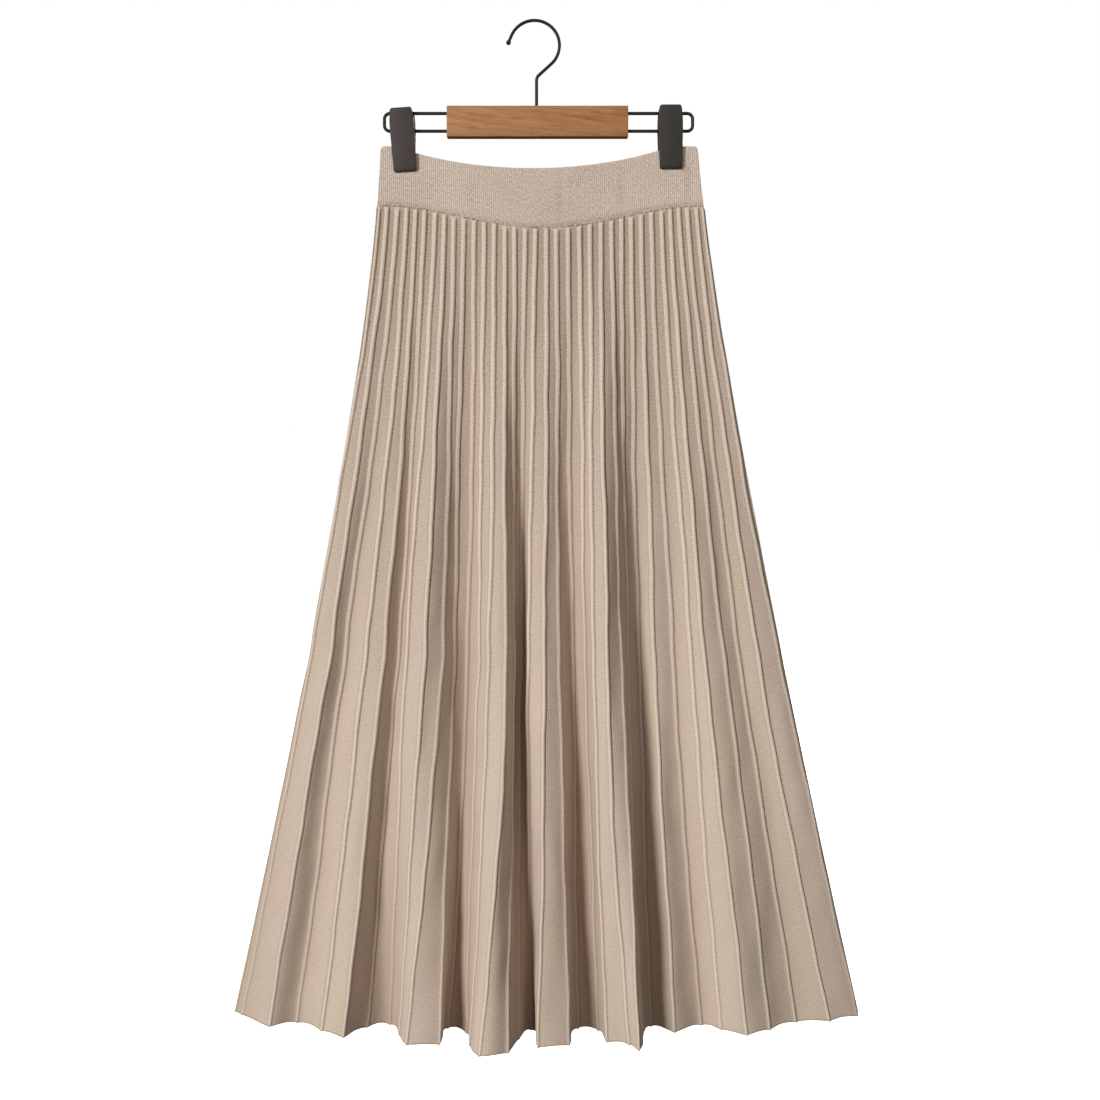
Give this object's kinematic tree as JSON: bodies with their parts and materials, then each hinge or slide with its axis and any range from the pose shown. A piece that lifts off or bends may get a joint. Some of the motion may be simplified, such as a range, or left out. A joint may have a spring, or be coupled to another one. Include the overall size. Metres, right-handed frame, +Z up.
{
  "type": "pleated maxi skirt on a clip hanger",
  "caption": "Accordion pleated knit maxi skirt with a plain waistband, held by the clips of a wire and wood hanger.",
  "frame": {"origin": "the inner top of the hook's bend, where the hanger rests on a rail", "axes": "+Z up, the front of the skirt faces -Y, +X to the right as seen from the front"},
  "size_m": [0.6237, 0.1466, 1.0016],
  "materials": {
    "powder_coated_steel": "black powder coat, satin",
    "bar_wood": "oiled hardwood, matt",
    "clip_plastic": "dark brown-grey moulded plastic",
    "spring_steel": "plain spring wire",
    "band_knit": "double marled knit, pale pinkish beige",
    "pleat_knit": "fine pleated knit, pale pinkish beige"
  },
  "bodies": {
    "root": {"hanger_hook": "powder_coated_steel", "hanger_bar": "bar_wood", "wire_loop_left": "powder_coated_steel", "wire_loop_right": "powder_coated_steel", "clip_left_front": "clip_plastic", "clip_left_back": "clip_plastic", "clip_left_spring": "spring_steel", "clip_right_front": "clip_plastic", "clip_right_back": "clip_plastic", "clip_right_spring": "spring_steel", "waistband_front": "band_knit", "waistband_back": "band_knit", "skirt_front": "pleat_knit", "skirt_back": "pleat_knit"}
  },
  "joints": []
}
